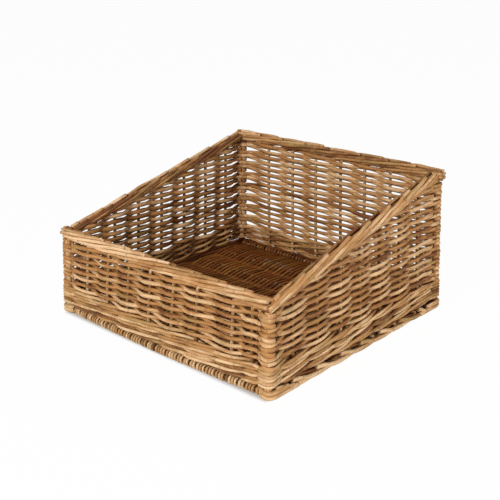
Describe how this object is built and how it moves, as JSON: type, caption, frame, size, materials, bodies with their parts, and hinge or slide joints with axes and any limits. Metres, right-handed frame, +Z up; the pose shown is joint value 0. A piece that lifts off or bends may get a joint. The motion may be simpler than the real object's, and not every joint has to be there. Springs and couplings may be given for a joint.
{
  "type": "wicker display basket",
  "caption": "Square woven willow display basket, open on top, with a low front, a tall back and sloping sides that show the goods.",
  "frame": {"origin": "middle of the flat underside of the base", "axes": "+X to the right seen from the front, +Y from the low front to the tall back, +Z up"},
  "size_m": [0.3977, 0.3848, 0.208],
  "materials": {
    "willow_base": "dry brown willow rods, matt",
    "willow_stick": "peeled buff willow rods, matt",
    "willow_post": "thick buff willow rods, matt",
    "willow_weaver": "buff and brown willow rods, soft sheen",
    "willow_wale": "thicker buff willow rods, soft sheen",
    "willow_rim": "light buff willow rods, soft sheen"
  },
  "bodies": {
    "root": {"base_edge_rod_left": "willow_stick", "base_edge_rod_right": "willow_stick", "base_stick_1": "willow_stick", "base_stick_2": "willow_stick", "base_stick_3": "willow_stick", "base_stick_4": "willow_stick", "base_stick_5": "willow_stick", "base_stick_6": "willow_stick", "base_stick_7": "willow_stick", "base_stick_8": "willow_stick", "base_weave": "willow_base", "corner_post_back_left": "willow_post", "corner_post_back_right": "willow_post", "corner_post_front_left": "willow_post", "corner_post_front_right": "willow_post", "corner_wrap_back_left": "willow_weaver", "corner_wrap_back_right": "willow_weaver", "corner_wrap_front_left": "willow_weaver", "corner_wrap_front_right": "willow_weaver", "rim_back": "willow_rim", "rim_front": "willow_rim", "rim_left": "willow_rim", "rim_right": "willow_rim", "stake_back_1": "willow_stick", "stake_back_2": "willow_stick", "stake_back_3": "willow_stick", "stake_back_4": "willow_stick", "stake_back_5": "willow_stick", "stake_back_6": "willow_stick", "stake_back_7": "willow_stick", "stake_front_1": "willow_stick", "stake_front_2": "willow_stick", "stake_front_3": "willow_stick", "stake_front_4": "willow_stick", "stake_front_5": "willow_stick", "stake_front_6": "willow_stick", "stake_front_7": "willow_stick", "stake_front_8": "willow_stick", "stake_left_1": "willow_stick", "stake_left_2": "willow_stick", "stake_left_3": "willow_stick", "stake_left_4": "willow_stick", "stake_left_5": "willow_stick", "stake_left_6": "willow_stick", "stake_left_7": "willow_stick", "stake_right_1": "willow_stick", "stake_right_2": "willow_stick", "stake_right_3": "willow_stick", "stake_right_4": "willow_stick", "stake_right_5": "willow_stick", "stake_right_6": "willow_stick", "stake_right_7": "willow_stick", "wale_back": "willow_wale", "wale_front": "willow_wale", "wale_left": "willow_wale", "wale_right": "willow_wale", "weave_back": "willow_weaver", "weave_front": "willow_weaver", "weave_left": "willow_weaver", "weave_right": "willow_weaver"}
  },
  "joints": []
}
